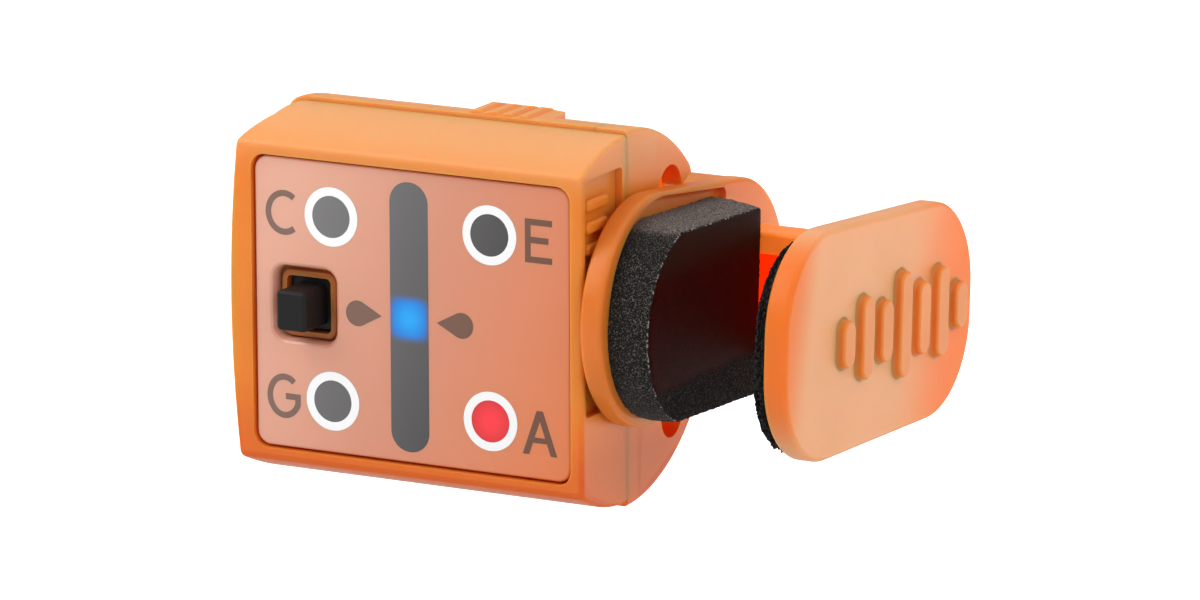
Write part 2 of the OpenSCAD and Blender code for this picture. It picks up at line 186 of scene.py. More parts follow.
def apply_modifiers(obj):
    bpy.context.view_layer.update()
    graph = bpy.context.evaluated_depsgraph_get()
    mesh = bpy.data.meshes.new_from_object(obj.evaluated_get(graph))
    obj.modifiers.clear()
    old = obj.data
    obj.data = mesh
    bpy.data.meshes.remove(old)


def combine(obj, others, operation):
    for other in others:
        mod = obj.modifiers.new("combine", "BOOLEAN")
        mod.operation = operation
        mod.solver = "EXACT"
        mod.object = other
        apply_modifiers(obj)
        bpy.data.objects.remove(other)
    return obj


def cut(obj, *others):
    return combine(obj, others, "DIFFERENCE")


def join(obj, *others):
    return combine(obj, others, "UNION")


def keep(obj, *others):
    return combine(obj, others, "INTERSECT")


def soften(obj, width, segments=3, angle=32):
    """Rounds every sharp edge by width, then shades the rest smooth."""
    bm = bmesh.new()
    bm.from_mesh(obj.data)
    bmesh.ops.remove_doubles(bm, verts=bm.verts, dist=2e-4)
    bmesh.ops.dissolve_limit(bm, angle_limit=math.radians(0.4), verts=bm.verts, edges=bm.edges)
    bm.to_mesh(obj.data)
    bm.free()
    mod = obj.modifiers.new("soften", "BEVEL")
    mod.width = width
    mod.segments = segments
    mod.limit_method = "ANGLE"
    mod.angle_limit = math.radians(angle)
    apply_modifiers(obj)
    return obj


def place(obj, matrix, body, material, smooth=35):
    """Carries a finished millimetre mesh into the shared frame and lets it ride."""
    obj.data.transform(matrix)
    obj.data.materials.clear()
    obj.data.materials.append(material)
    for poly in obj.data.polygons:
        poly.use_smooth = True
    obj.data.set_sharp_from_angle(angle=math.radians(smooth))
    even = obj.modifiers.new("even_shading", "WEIGHTED_NORMAL")
    even.keep_sharp = True
    apply_modifiers(obj)
    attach(obj, body)
    return obj


# ---------------------------------------------------------------- materials
class Nodes:
    """Short ways to make and join shader nodes."""

    def __init__(self, name):
        self.material = bpy.data.materials.new(name)
        self.material.use_nodes = True
        self.tree = self.material.node_tree
        self.shader = self.tree.nodes["Principled BSDF"]
        self.coords = self.tree.nodes.new("ShaderNodeTexCoord")

    def add(self, kind, inputs=None, **settings):
        node = self.tree.nodes.new(kind)
        for key, value in settings.items():
            setattr(node, key, value)
        for key, value in (inputs or {}).items():
            if isinstance(value, bpy.types.NodeSocket):
                self.tree.links.new(value, node.inputs[key])
            else:
                node.inputs[key].default_value = value
        return node

    def set(self, **inputs):
        for key, value in inputs.items():
            socket = self.shader.inputs[key.replace("_", " ")]
            if isinstance(value, bpy.types.NodeSocket):
                self.tree.links.new(value, socket)
            else:
                socket.default_value = value

    def noise(self, scale, detail=3, rough=0.5):
        node = self.add("ShaderNodeTexNoise", {"Vector": self.coords.outputs["Object"], "Scale": scale,
                                               "Detail": detail, "Roughness": rough})
        return node.outputs["Fac"]

    def tuner_place(self):
        """Distance in millimetres from the middle of the display: (across, back, up)."""
        shift = tuple(-TUNER.translation * 1000)
        local = self.add("ShaderNodeVectorMath", operation="MULTIPLY_ADD",
                         inputs={0: self.coords.outputs["Object"], 1: (1000, 1000, 1000), 2: shift})
        split = self.add("ShaderNodeSeparateXYZ", {"Vector": local.outputs[0]})
        return split.outputs["X"], split.outputs["Y"], split.outputs["Z"]

    def ramp(self, fac, stops):
        node = self.add("ShaderNodeValToRGB", {"Fac": fac})
        band = node.color_ramp
        while len(band.elements) < len(stops):
            band.elements.new(0.5)
        for element, (position, colour) in zip(band.elements, stops):
            element.position = position
            element.color = (*colour, 1)
        return node.outputs["Color"]

    def span(self, fac, low, high, start=0.0, end=1.0, smooth=False):
        node = self.add("ShaderNodeMapRange", {"Value": fac, "From Min": start, "From Max": end,
                                               "To Min": low, "To Max": high},
                        interpolation_type="SMOOTHSTEP" if smooth else "LINEAR")
        return node.outputs["Result"]

    def mix(self, fac, a, b):
        node = self.add("ShaderNodeMix", data_type="RGBA")
        for socket, value in ((node.inputs[0], fac), (node.inputs[6], a), (node.inputs[7], b)):
            if isinstance(value, bpy.types.NodeSocket):
                self.tree.links.new(value, socket)
            else:
                socket.default_value = value if isinstance(value, float) else (*value, 1)
        return node.outputs[2]

    def math(self, operation, a, b=0.0):
        return self.add("ShaderNodeMath", {0: a, 1: b}, operation=operation).outputs[0]

    def slope(self, across, up, x, z, start):
        """start + x * across + z * up"""
        tilted = self.math("ADD", self.math("MULTIPLY", across, x), self.math("MULTIPLY", up, z))
        return self.math("ADD", tilted, start)

    def reach(self, across, up, x, z, power):
        """Distance from (x, z): round for power 2, and nearer to a square as the power grows."""
        parts = [self.math("POWER", self.math("ABSOLUTE", self.math("SUBTRACT", value, centre)), power)
                 for value, centre in ((across, x), (up, z))]
        return self.math("POWER", self.math("ADD", *parts), 1 / power)

    def bump(self, height, strength, distance):
        node = self.add("ShaderNodeBump", {"Height": height, "Strength": strength, "Distance": distance})
        self.set(Normal=node.outputs["Normal"])


def case_plastic(name, pale, deep, edge=(0.86, 0.27, 0.04), rough=0.36, grain=0.05, painted_glow=None, painted_fades=()):
    """Translucent orange moulding: light bleeds through it, and its satin skin has a very fine grain.

    Each of painted_fades is (colour, start, end, by_height): the colour fades in between two places, in
    millimetres, up the tuner or else back along it, as painted light and shade. Convex edges are painted
    towards the edge colour, a painted glow of light through thin plastic, and painted_glow, if given, is
    emission standing in for that light.
    """
    n = Nodes(name)
    # painted glow: convex edges lean towards the edge colour, where light would shine through thin plastic
    edge_glow_mask = n.add("ShaderNodeNewGeometry").outputs["Pointiness"]
    base = n.ramp(n.noise(160, 4), ((0.3, deep), (0.7, pale)))
    _, depth, up = n.tuner_place()
    # painted light and shade: colours fade in up the tuner or back along it
    for colour, start, end, by_height in painted_fades:
        where = up if by_height else n.slope(depth, up, 1.0, -0.25, 0.0)
        base = n.mix(n.span(where, 0.0, 1.0, start, end, smooth=True), base, colour)
    n.set(Base_Color=n.mix(n.span(edge_glow_mask, 0.0, 0.35, 0.5, 0.6), base, edge))
    n.set(Roughness=n.span(n.noise(700, 3), rough - 0.05, rough + 0.08))
    n.set(Subsurface_Weight=0.8, Subsurface_Radius=(1.0, 0.35, 0.1), Subsurface_Scale=0.0018,
          Specular_IOR_Level=0.22, Coat_Weight=0.08, Coat_Roughness=0.28)
    # painted glow: emission standing in for light shining through the plastic
    if painted_glow:
        n.set(Emission_Color=(*painted_glow, 1), Emission_Strength=0.7)
    n.bump(n.noise(9000, 2), grain, 0.00002)
    return n.material


def lens_plastic():
    """Frosted lens, pinker towards its top left and oranger towards its bottom right: a painted reflection of a
    softbox at its upper left.
    """
    n = Nodes("lens_frosted")
    across, _, up = n.tuner_place()
    painted_reflection = n.slope(across, up, 0.036, -0.014, 0.45)
    base = n.ramp(painted_reflection, ((0.0, (0.84, 0.43, 0.31)), (0.45, (0.71, 0.29, 0.18)), (1.0, (0.78, 0.20, 0.05))))
    n.set(Base_Color=base, Roughness=n.span(n.noise(300, 2), 0.2, 0.26),
          Subsurface_Weight=0.4, Subsurface_Radius=(1.0, 0.4, 0.25), Subsurface_Scale=0.001,
          Specular_IOR_Level=0.4, Coat_Weight=0.3, Coat_Roughness=0.1)
    return n.material


def painted_falloff(n, across, up, colours):
    """Painted fall-off of light: the first colour at the display's left and top, the second at its right and
    bottom.
    """
    return n.ramp(n.slope(across, up, 0.05, -0.02, 0.5), ((0.0, colours[0]), (1.0, colours[1])))


def printed(name, colours, rough=0.3):
    """Ink on the lens, with the lens's gloss over it and a painted fall-off of light across it."""
    n = Nodes(name)
    across, _, up = n.tuner_place()
    n.set(Base_Color=painted_falloff(n, across, up, colours),
          Roughness=n.span(n.noise(2500, 3), rough - 0.05, rough + 0.05),
          Specular_IOR_Level=0.35, Coat_Weight=0.2, Coat_Roughness=0.1)
    return n.material


def lit_window(name, colours, light, centre, power, start, end):
    """A dark window with a light behind it, which fades out between two distances from its centre.

    light is its two colours, at the middle and further out; power is the light's shape, as for reach.
    """
    n = Nodes(name)
    across, _, up = n.tuner_place()
    lit = n.span(n.reach(across, up, *centre, power), 1.0, 0.0, start, end, smooth=True)
    # painted fall-off of light across the dark window
    dark = painted_falloff(n, across, up, colours)
    core = n.span(n.reach(across, up, *centre, 2.0), 1.0, 0.0, 0.0, end, smooth=True)
    n.set(Base_Color=n.mix(lit, dark, (0.0, 0.0, 0.0)), Roughness=n.span(n.noise(2500, 3), 0.25, 0.35),
          Specular_IOR_Level=0.35, Coat_Weight=0.2, Coat_Roughness=0.1,
          Emission_Color=n.mix(core, light[1], light[0]), Emission_Strength=lit)
    return n.material


def plain_plastic(name, colour, rough, grain_scale=6000, grain=0.1, variation=0.15, gloss=0.5):
    n = Nodes(name)
    n.set(Specular_IOR_Level=gloss)
    dark = tuple(c * (1 - variation) for c in colour)
    n.set(Base_Color=n.mix(n.noise(900, 3), dark, colour),
          Roughness=n.span(n.noise(1800, 2), rough - 0.06, rough + 0.06))
    n.bump(n.noise(grain_scale, 3), grain, 0.00002)
    return n.material


def foam_nodes(name, pores, strength, colour, speck, top=None):
    """Open-cell foam: dark pores, and light specks where cell walls catch the light.

    top gives the two colours of the clip's upper side, if that side is painted paler as a sheen where light
    grazes it.
    """
    n = Nodes(name)
    cells = n.add("ShaderNodeTexVoronoi", {"Vector": n.coords.outputs["Object"], "Scale": pores},
                  feature="DISTANCE_TO_EDGE").outputs["Distance"]
    look = n.ramp(n.noise(pores * 0.9, 1, 0.6), ((0.40, colour), (0.55, tuple(c * 2.4 for c in colour)),
                                                 (0.66, speck)))
    # painted sheen: the pad's upper side is paler where overhead light grazes it
    if top:
        _, depth, up = n.tuner_place()
        clip_height = n.slope(depth, up, 0.0524, 1.0, -0.98)
        upper = n.span(clip_height, 0.0, 1.0, 5.75, 6.15, smooth=True)
        look = n.mix(upper, look, n.ramp(n.noise(pores * 0.9, 1, 0.6), ((0.4, top[0]), (0.65, top[1]))))
    n.set(Base_Color=look, Roughness=0.9, Specular_IOR_Level=0.15, Sheen_Weight=0.06, Sheen_Roughness=0.5)
    n.bump(cells, strength, 0.00006)
    return n, look


def foam_skin():
    """The gripping face: a smooth dark red-black skin in a band, with bare foam below it."""
    n, look = foam_nodes("foam_skin", 11000, 0.5, (0.007, 0.0065, 0.006), (0.06, 0.056, 0.052))
    up = n.tuner_place()[2]
    edge = n.math("ADD", up, n.span(n.noise(350, 2), -0.2, 0.2))
    skin = n.span(edge, 0.0, 1.0, -3.9, -3.1, smooth=True)
    brown = n.span(up, 0.0, 1.0, 3.4, 5.2, smooth=True)
    red = n.ramp(n.noise(1500, 3), ((0.35, (0.021, 0.0011, 0.0004)), (0.65, (0.029, 0.0016, 0.0006))))
    tint = n.mix(brown, red, (0.024, 0.008, 0.005))
    n.set(Base_Color=n.mix(skin, look, tint), Roughness=n.span(skin, 0.9, 0.6), Specular_IOR_Level=0.06,
          Sheen_Weight=0.0)
    return n.material


def metal(name, colour, rough):
    n = Nodes(name)
    n.set(Base_Color=n.mix(n.noise(1200, 3), tuple(c * 0.85 for c in colour), colour), Metallic=1.0,
          Roughness=n.span(n.noise(4000, 2), rough - 0.07, rough + 0.08))
    return n.material


# painted light and shade: the case fades paler towards its top and deeper orange towards its bottom
CASE = case_plastic("case_orange", (0.90, 0.255, 0.028), (0.85, 0.225, 0.018),
                    painted_fades=(((0.85, 0.37, 0.13), 8.5, 12.0, True), ((0.68, 0.115, 0.004), -4.0, -10.0, True)))
# painted shade: a darker copy of the case orange for the fixed jaw, painted brighter orange towards its back
CLIP_CASE_SHADED = case_plastic("case_orange_clip_shaded", (0.76, 0.22, 0.032), (0.70, 0.185, 0.022), (0.86, 0.31, 0.06),
                         painted_fades=(((0.92, 0.30, 0.06), 17.0, 25.0, False),))
# painted glow: saturated orange with emission, for light shining through thin walls deep in the case and clip
CASE_PAINTED_GLOW = case_plastic("case_orange_deep_painted_glow", (0.9, 0.13, 0.003), (0.85, 0.10, 0.002), (0.9, 0.2, 0.02),
                         painted_glow=(0.9, 0.11, 0.0))
# painted glow: red with emission, for light shining through the web in the arm's hollow
CASE_RED_PAINTED_GLOW = case_plastic("case_orange_red_painted_glow", (0.9, 0.05, 0.001), (0.85, 0.03, 0.001), (0.9, 0.1, 0.01),
                        painted_glow=(0.9, 0.03, 0.0))
# painted glow: emission on the arm, for light shining through it
ARM_PAINTED_GLOW = case_plastic("case_orange_arm_painted_glow", (0.88, 0.22, 0.02), (0.84, 0.19, 0.015), painted_glow=(0.45, 0.1, 0.01))
# painted light and shade: the plate fades to deeper orange towards its back and its front
JAW = case_plastic("case_orange_jaw", (0.84, 0.40, 0.19), (0.80, 0.37, 0.165), (0.84, 0.25, 0.04), rough=0.42,
                   grain=0.35, painted_fades=(((0.92, 0.19, 0.01), 15.0, 25.0, False),
                                      ((0.84, 0.19, 0.015), 2.5, -1.5, False)))
RAISED = case_plastic("case_orange_raised", (0.82, 0.27, 0.055), (0.78, 0.23, 0.045), rough=0.3)
# painted shade: a dark brown copy of the case orange for the collar in the key's hole
COLLAR_PAINTED_SHADE = case_plastic("case_orange_collar_painted_shade", (0.42, 0.13, 0.03), (0.34, 0.09, 0.02))
# painted shade: a darker copy of the case orange for the lens's shaded seat
SEAT_PAINTED_SHADE = case_plastic("case_orange_seat_painted_shade", (0.75, 0.18, 0.02), (0.70, 0.15, 0.015))
LENS = lens_plastic()
RING = printed("ring_white", ((1.0, 1.0, 1.0), (0.96, 0.96, 0.96)))
# the window's grey lit at the display's left and top and shaded at its right and bottom, for the painted
# fall-off
WINDOW_GREYS = ((0.19, 0.185, 0.19), (0.02, 0.017, 0.018))
WINDOW = printed("window_grey", WINDOW_GREYS)
METER = lit_window("meter_window", WINDOW_GREYS, ((0.0, 0.38, 0.92), (0.0, 0.19, 0.7)),
                   (-0.18, -0.09), 4.0, 1.0, 1.75)
RED_LIGHT = lit_window("window_red", WINDOW_GREYS, ((1.0, 0.03, 0.045), (0.6, 0.015, 0.025)), (5.97, -6.42),
                      2.0, 1.3, 2.1)
INK = printed("ink_brown", ((0.23, 0.13, 0.10), (0.16, 0.06, 0.03)))
KEY_BLACK = plain_plastic("key_rubber", (0.012, 0.0115, 0.0115), 0.5, 7000, 0.5, gloss=0.2)
# the thick pad's paler top colours are a painted sheen
FOAM = foam_nodes("foam_thick", 11000, 0.8, (0.0055, 0.005, 0.0045), (0.11, 0.10, 0.09),
                  ((0.045, 0.036, 0.031), (0.26, 0.22, 0.2)))[0].material
FOAM_SKIN = foam_skin()
FOAM_EDGE = foam_nodes("foam_edge", 6000, 1.0, (0.012, 0.011, 0.010), (0.30, 0.27, 0.25))[0].material
FOAM_THIN = foam_nodes("foam_thin", 6000, 1.0, (0.004, 0.0036, 0.0033), (0.03, 0.027, 0.025))[0].material
STEEL = metal("bright_steel", (0.62, 0.62, 0.63), 0.3)
BRASS = metal("spring_brass", (0.72, 0.5, 0.2), 0.32)
NICKEL = metal("cell_nickel", (0.66, 0.64, 0.6), 0.34)
BOARD = plain_plastic("board_green", (0.015, 0.13, 0.06), 0.35, 5000, 0.15)
CHIP = plain_plastic("chip_epoxy", (0.02, 0.02, 0.022), 0.5, 9000, 0.3)
DIFFUSER = plain_plastic("light_guide_white", (0.86, 0.86, 0.84), 0.4, 5000, 0.1, 0.04)
LED = plain_plastic("led_package", (0.85, 0.83, 0.6), 0.3, 5000, 0.1, 0.08)
CERAMIC = plain_plastic("chip_ceramic", (0.42, 0.3, 0.19), 0.45, 8000, 0.2)
LEAD = plain_plastic("lead_red", (0.55, 0.02, 0.015), 0.4, 6000, 0.1)

# ---------------------------------------------------------------- housing
CASE_HALF = 13.05
CASE_Y = 6.3
CASE_R = 12.9
FRONT_R = 12.6
SEAM = 6.4
WALL = 1.3
BOW = 0.8
BOW_R = (FRONT_R ** 2 + BOW ** 2) / (2 * BOW)
LEFT = -16
END_ROUND = 1.5
LIP = 15.9
FRONT_WALL = 2.3
TIGHTEST = 0.1          # share of the left end's rounding that is left at the front
FULL_ROUND_Y = 3.5      # depth from which that rounding is whole
KEY = (-8.25, -0.1)
LIGHTS = [(x, z) for x in (-6.1, 5.97) for z in (6.28, -6.42)]
METER_X = -0.15
SCREWS = [(-8.5, -9.5), (8.5, -9.5)]
DOOR_GROOVE = (11.45, 12.15)
GROOVE_END = 10.7
DRUM_R = 8.25
CHANNEL_R = 8.5
POST_X = 5.5


def case_outline(radius, y0, y1, front=0.0, rear=0.0):
    """The housing's circle between two depths, with rounded corners at the front and at the rear."""
    def corner(y, fillet, way):
        cy = y - way * fillet
        cz = math.sqrt((radius - fillet) ** 2 - (cy - CASE_Y) ** 2)
        angle = math.degrees(math.atan2(cz, cy - CASE_Y))
        return angle, arc((cy, cz), fillet, angle, 90 - way * 90, 8) if fillet else [(cy, cz)]
    a0, rear_points = corner(y1, rear, 1)
    a1, front_points = corner(y0, front, -1)
    upper = rear_points[::-1] + arc((CASE_Y, 0), radius, a0, a1, 36)[1:-1] + front_points
    y, z = upper[-1]
    face = [(y, z * k / 8) for k in range(7, -8, -1)] if front else []
    return upper + face + [(y, -z) for y, z in upper[::-1]]


def left_end(z, inset):
    """How far left the bowed end lies at a height."""
    return BOW_R - CASE_HALF - BOW - math.sqrt((BOW_R - inset) ** 2 - z ** 2)


def slab(outline, inset, left=0.0, right=0.0):
    """outline(i) from the housing's bowed left end to its flat right end, with those ends' edges rounded.

    The left end's rounding is tight at the front and fills out where the housing curves back.
    """
    whole, rounded = outline(0), outline(left)
    loops = []
    for depth, i in quarter_round(left):
        loop = []
        for (y, z), (ry, rz) in zip(whole, rounded):
            part = TIGHTEST + (1 - TIGHTEST) * min(1, max(0, y / FULL_ROUND_Y))
            t = part * i / (left or 1)
            loop.append((left_end(z, inset) + depth * part, y + (ry - y) * t, z + (rz - z) * t))
        loops.append(loop)
    loops += [across(CASE_HALF - inset - depth, outline(i)) for depth, i in reversed(quarter_round(right))]
    return loft("slab", loops)


def front_outline(i):
    return case_outline(FRONT_R - i, i, SEAM, 0.55)


def rear_outline(i):
    return case_outline(CASE_R - i, SEAM, LIP - i, 0, 1.2)


def box(name, low, high):
    """A block between two corners."""
    return prism(name, back, [(low[0], low[2]), (high[0], low[2]), (high[0], high[2]), (low[0], high[2])],
                 low[1], high[1])


def sector(r0, r1, a0, a1):
    """Outline of a piece of a ring, between two radii and two angles."""
    return arc((0, 0), r1, a0, a1) + arc((0, 0), r0, a1, a0)


def moved(points, y, z=0):
    return [(p[0] + y, p[1] + z) for p in points]


def in_collar(c):
    return abs(c.x - KEY[0]) < 2.6 and abs(c.z - KEY[1]) < 2.8


def front_case():
    shell = slab(front_outline, 0, END_ROUND, 0.3)
    cut(shell, slab(lambda i: case_outline(FRONT_R - WALL, FRONT_WALL, SEAM + 1), WALL))
    cut(shell, prism("seat", back, rounded_rect((0, 0), (24.3, 20.3), 1.05), -1, LENS_Y + 1.05))
    cut(shell, *[prism("light_hole", back, circle(p, 1.9), 0.5, 4) for p in LIGHTS])
    cut(shell, prism("meter_hole", back, rounded_rect((METER_X, 0), (3.1, 18.8), 1.5), 0.5, 4))
    groove = moved(sector(*DOOR_GROOVE, 68, 92.4), CASE_Y)
    cut(shell, prism("door_groove", across, groove, LEFT, GROOVE_END))
    cut(shell, prism("field", across, rounded_rect((3.1, 2.55), (5.3, 16.1), 0.35), CASE_HALF - 0.55, 16))
    soften(shell, 0.22)
    join(shell, rounded_solid("collar", back, lambda i: rounded_rect(KEY, (4.2 - 2 * i, 4.6 - 2 * i), 0.7 - i),
                              1.6, 0.9, 0.15, (False, True)))
    cut(shell, prism("key_hole", back, rounded_rect(KEY, (3.4, 3.8), 0.4), 0, 4))
    for z in (5.7, 7.2, 8.7):
        join(shell, rounded_solid("rib", across,
                                  lambda i: rounded_rect((2.6, z), (3 - 2 * i, 0.8 - 2 * i), 0.38 - i),
                                  CASE_HALF - 0.7, CASE_HALF - 0.12, 0.22, (False, True)))
    shell.name = "front_case_shell"
    place(shell, TUNER, "tuner", CASE)
    # painted shade on the collar
    paint(shell, COLLAR_PAINTED_SHADE, lambda c, n: in_collar(c) and 0.7 < c.y < 3)
    # painted shade on the lens's seat
    paint(shell, SEAT_PAINTED_SHADE, lambda c, n: abs(c.x) < 12.2 and abs(c.z) < 10.2 and 0.4 < c.y < 1.4
          and not in_collar(c))
    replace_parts(shell, "front_case")


def end_opening():
    """The drum's opening in an end wall: a disc that runs into two rounded side notches."""
    def notch(centre, radius, way):
        return [(centre[0] - radius, 0)] + arc(centre, radius, 180, 180 - way * 180) + [(centre[0] + radius, 0)]
    ring = prism("ring", across, circle((HINGE_Y, 0), CHANNEL_R + 0.3), -1, 1)
    return join(ring, prism("notch", across, notch((12.6, 7.7), 1.65, 1), -1, 1),
                prism("notch", across, notch((12.75, -8), 1.5, -1), -1, 1))


def rear_case():
    shell = slab(rear_outline, 0, END_ROUND, 0.3)
    cut(shell, slab(lambda i: case_outline(CASE_R - WALL, SEAM - 1, LIP + 0.9), WALL))

    def inside():
        return slab(lambda i: rear_outline(0.4), 0.4)
    trough = prism("trough", across, circle((HINGE_Y, 0), CHANNEL_R + 1), LEFT, CASE_HALF - WALL)
    join(shell, keep(trough, inside()))
    for p in SCREWS:
        join(shell, keep(prism("post", back, circle(p, 1.75), SEAM, 17), inside()))
    for side in (-1, 1):
        x = side * (CASE_HALF - 2.1)
        join(shell, keep(box("web", (x - 0.85, 10.75, -12), (x + 0.85, LIP, 12)), inside()))
    cut(shell, prism("channel", across, circle((HINGE_Y, 0), CHANNEL_R), LEFT, CASE_HALF - WALL))
    for x in (-CASE_HALF - 0.2, CASE_HALF - 0.5):
        opening = end_opening()
        opening.data.transform(Matrix.Translation((x, 0, 0)))
        cut(shell, opening)
    cut(shell, box("doorway", (-10.2, 6, 9), (10.2, 10.7, 15)),
        prism("door_track", across, moved(sector(11.05, 13.5, 68, 89.9), CASE_Y), LEFT, GROOVE_END),
        prism("door_groove", across, moved(sector(*DOOR_GROOVE, 65.8, 91.7), CASE_Y), LEFT, GROOVE_END))
    cut(shell, *[prism("screw_hole", back, circle(p, 0.85), 0, 20) for p in SCREWS])
    cut(shell, *[prism("screw_head", back, circle(p, 1.3), 9.6, 20) for p in SCREWS])
    soften(shell, 0.22)
    for side in (-1, 1):
        x = side * POST_X
        join(shell, keep(prism("tilt_post", across, moved(sector(6.62, CHANNEL_R + 0.5, 165, 195), HINGE_Y),
                               x - 1.3, x + 1.3), box("trim", (x - 5, 0, -1.2), (x + 5, 20, 1.2))))
    shell.name = "rear_case_shell"
    place(shell, TUNER, "tuner", CASE)
    # painted glow on the sideways-facing inner faces deep in the rear case
    paint(shell, CASE_PAINTED_GLOW, lambda c, n: abs(c.x) < CASE_HALF - 0.5 and c.y > 10.6 and abs(c.z) < 9.5
          and abs(n.x) > 0.5)
    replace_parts(shell, "rear_case")


def battery_door():
    """A curved cover with a saw-toothed grip; its thinner tongues run in the grooves of both cases."""
    whole = slab(lambda i: case_outline(CASE_R - i, SEAM - 1, LIP), 0, END_ROUND)
    top = keep(prism("door", across, moved(sector(11.2, CASE_R + 1, 68.5, 89.4), CASE_Y), LEFT, 10.6), whole)
    tongues = prism("tongues", across, moved(sector(11.55, 12.05, 66.2, 91.7), CASE_Y), 0.3 - CASE_HALF, 10.6)
    tooth, first = 1.15, 0.9
    end = first + 4 * tooth + 0.9
    saw = [(first, 11.8), (first, 12.95)]
    for i in range(4):
        crest = 13.24 - 0.04 * i
        saw += [(first + (i + 0.3) * tooth, crest - 0.1), (first + (i + 0.85) * tooth, crest),
                (first + (i + 1) * tooth, crest - 0.26)]
    grip = keep(prism("grip", back, saw + [(end, 12.8), (end, 11.8)], 6.6, 10.2),
                prism("arch", across, circle((CASE_Y, 0), CASE_R + 0.62), 0, end + 1))
    join(top, grip)
    soften(top, 0.12)
    join(top, tongues)
    top.name = "battery_door_cover"
    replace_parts(place(top, TUNER, "door", CASE), "battery_door")


# ---------------------------------------------------------------- display
INK_FACE = LENS_Y - 0.012
INK_BACK = LENS_Y + 0.05
RING_OUT = 2.03
RING_IN = 1.44


def display_lens():
    """A frosted plate, whose hole for the key flares out smoothly towards its face."""
    lens = rounded_solid("lens", back, lambda i: rounded_rect((0, 0), (24 - 2 * i, 20 - 2 * i), 1 - i),
                         LENS_Y + 1, LENS_Y, 0.18, (False, True))
    hole_at = (KEY[0], 0)
    flare = [(LENS_Y - 0.2, 0.62), (LENS_Y - 0.02, 0.42), (LENS_Y + 0.03, 0.28), (LENS_Y + 0.12, 0.14),
             (LENS_Y + 0.28, 0.04), (LENS_Y + 0.45, 0.0), (LENS_Y + 1.5, 0.0)]
    cut(lens, loft("flare", [back(y, rounded_rect(hole_at, (4.7 + 2 * g, 5.0 + 2 * g), 0.9 + g))
                             for y, g in flare]))
    lens.name = "display_lens_frosted"
    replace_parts(place(lens, TUNER, "tuner", LENS, 20), "display_lens")


def stroke(points, width):
    """Outline of a line of even width through the points."""
    sides = [], []
    for i, p in enumerate(points):
        before = Vector(p) - Vector(points[max(i - 1, 0)])
        after = Vector(points[min(i + 1, len(points) - 1)]) - Vector(p)
        before = before.normalized() if before.length else after.normalized()
        after = after.normalized() if after.length else before
        way = (before + after).normalized()
        reach = width / 2 / max(0.4, way.dot(after))
        for side, points_out in zip((1, -1), sides):
            points_out.append((p[0] - side * way.y * reach, p[1] + side * way.x * reach))
    return sides[0] + sides[1][::-1]


def marks(name, outlines, material, face=INK_FACE):
    """Thin printed shapes on the lens, as one piece."""
    bm = bmesh.new()
    for outline in outlines:
        loft(name, [back(INK_BACK, outline), back(face, outline)], bm)
    obj = place(new_object(name, bm), TUNER, "tuner", material, 20)


def printed_marks():
    """The strings' letters, the meter's pointers and window, and the four ringed lights."""
    bold, half_height = 0.42, 1.33
    half = bold / 2

    def curve(centre, width, start, end):
        return [(centre[0] + width * math.cos(a), centre[1] + half_height * math.sin(a))
                for a in (math.radians(start + (end - start) * k / 40) for k in range(41))]
    c_mid, g_mid = (-9.72, 6.22), (-9.85, -6.47)
    letters = [
        stroke(curve(c_mid, 1.22, 52, 308), bold),
        stroke(curve(g_mid, 1.12, 48, 338) + [(g_mid[0] + 1.04, g_mid[1] + half)], bold),
        stroke([(g_mid[0] + 0.1, g_mid[1]), (g_mid[0] + 0.84, g_mid[1])], bold),
        stroke([(10.68, 7.52), (8.86, 7.52), (8.86, 4.97), (10.68, 4.97)], bold),
        stroke([(9.07, 6.3), (10.4, 6.3)], bold),
        [(8.4, -8.32), (8.88, -8.32), (9.7, -6.0), (10.52, -8.32), (11.0, -8.32), (9.93, -5.3), (9.47, -5.3)],
        [(9.17, -7.5), (10.23, -7.5), (10.1, -7.14), (9.3, -7.14)]]
    marks("string_letters", letters, INK)
    left, right = (-4.13, -0.13), (3.82, -0.12)
    marks("meter_pointers", [arc(left, 0.88, 62, 298) + [(-2.27, -0.13)],
                             arc(right, 0.88, -118, 118) + [(1.94, -0.12)]], INK)
    for i, p in enumerate(LIGHTS):
        ring = bmesh.new()
        skin(ring, [back(y, circle(p, r)) for y, r in ((INK_BACK, RING_OUT), (INK_FACE, RING_OUT),
                                                      (INK_FACE, RING_IN), (INK_BACK, RING_IN),
                                                      (INK_BACK, RING_OUT))])
        place(new_object(f"light_ring_{i + 1}", ring), TUNER, "tuner", RING, 20)
        marks(f"light_window_{i + 1}", [circle(p, RING_IN + 0.02)], RED_LIGHT if p == LIGHTS[3] else WINDOW,
              INK_FACE + 0.004)
    marks("meter_window", [rounded_rect((METER_X, 0), (2.9, 18.5), 1.42)], METER)


def power_key():
    key = rounded_solid("power_key", back, lambda i: rounded_rect(KEY, (2.3 - 2 * i, 2.75 - 2 * i), 0.34 - i),
                        1.6, -1.6, 0.3, (False, True))
    join(key, rounded_solid("flange", back, lambda i: rounded_rect(KEY, (3.2 - 2 * i, 3.6 - 2 * i), 0.4 - i),
                            2.35, 1.4, 0.1))
    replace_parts(place(key, TUNER, "button", KEY_BLACK), "power_button")


# ---------------------------------------------------------------- clip
JAW_X = 13.35
JAW_END = 14.95
NECK_R = 7.3
NECK_X = 8.5
DRUM_LEFT = -12
ARM = (-2.2, 1.0, 4.3)
ARM_LEFT = -10.3
ARM_SCREW = (-0.6, 0)
CAP_SCREWS = [(-0.6, -6.15), (-0.6, 6.15)]
SPRING_Y = 4.3
SPRING_R = 1.85
WIRE_R = 0.25
SPRING_TURNS = 11
CHAMBER_END = 8.2
MOVING_PAD_X = 26.2
MOVING_PLATE_X = 27.1
MOVING_X = 28.85
PLATE_CORNERS = [(-13.8, -1.75), (1.6, -1.55), (1.6, 0.45), (-13.8, 0.95)]
PLATE_R = 6.4
PLATE_MID = (-6.1, -0.5)


